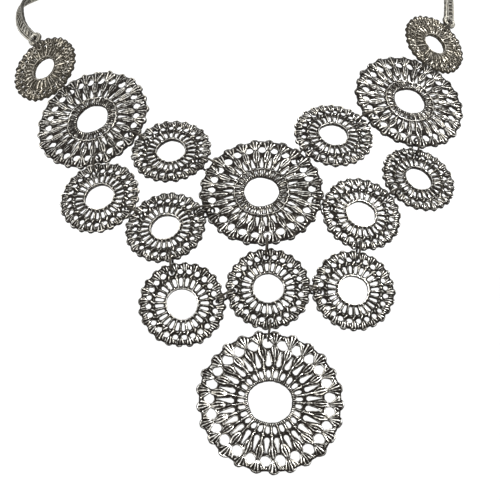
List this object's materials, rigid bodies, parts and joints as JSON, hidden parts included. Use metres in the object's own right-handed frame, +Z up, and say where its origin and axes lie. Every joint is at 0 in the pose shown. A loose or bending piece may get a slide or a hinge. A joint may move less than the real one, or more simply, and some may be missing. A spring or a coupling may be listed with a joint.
{
  "type": "statement necklace",
  "caption": "Bib necklace of pierced lace discs in oxidised silver, linked edge to edge by jump rings, on a flat neck band with a free-hanging drop disc.",
  "frame": {"origin": "the nape of the neck, at the middle of the inner face of the clasp, where the necklace hangs on its wearer", "axes": "+Z up as worn, -Y towards the front where the discs lie, +X to the right as seen from the front"},
  "size_m": [0.1742, 0.1618, 0.1922],
  "materials": {
    "disc_silver": "oxidised silver, bright on the high strands and dark in the hollows",
    "small_disc_silver": "oxidised silver, closer and browner",
    "band_metal": "oxidised silver, satin",
    "clasp_metal": "oxidised silver, plain satin",
    "ring_metal": "dark blackened wire"
  },
  "bodies": {
    "root": {"disc_small_left": "small_disc_silver", "disc_large_left": "disc_silver", "disc_inner_left": "disc_silver", "disc_large_centre": "disc_silver", "disc_inner_right": "disc_silver", "disc_large_right": "disc_silver", "disc_small_right": "small_disc_silver", "disc_outer_left": "disc_silver", "disc_middle_left": "disc_silver", "disc_lower_left": "disc_silver", "disc_lower_centre": "disc_silver", "disc_lower_right": "disc_silver", "disc_middle_right": "disc_silver", "disc_outer_right": "disc_silver", "ring_band_left": "ring_metal", "ring_01": "ring_metal", "ring_02": "ring_metal", "ring_03": "ring_metal", "ring_04": "ring_metal", "ring_05": "ring_metal", "ring_06": "ring_metal", "ring_band_right": "ring_metal", "ring_07": "ring_metal", "ring_08": "ring_metal", "ring_09": "ring_metal", "ring_10": "ring_metal", "ring_11": "ring_metal", "ring_12": "ring_metal", "ring_13": "ring_metal", "ring_14": "ring_metal", "ring_15": "ring_metal", "ring_16": "ring_metal", "ring_17": "ring_metal", "ring_drop": "ring_metal", "band_left": "band_metal", "band_right": "band_metal", "clasp": "clasp_metal"},
    "drop": {"disc_drop": "disc_silver"}
  },
  "joints": [
    {"name": "drop_swing", "type": "hinge", "parent": "root", "child": "drop", "pos_m": [-0.00091, -0.13975, -0.1435], "axis": [0.9821, -0.0517, -0.1811], "range_deg": [-20, 60]}
  ]
}
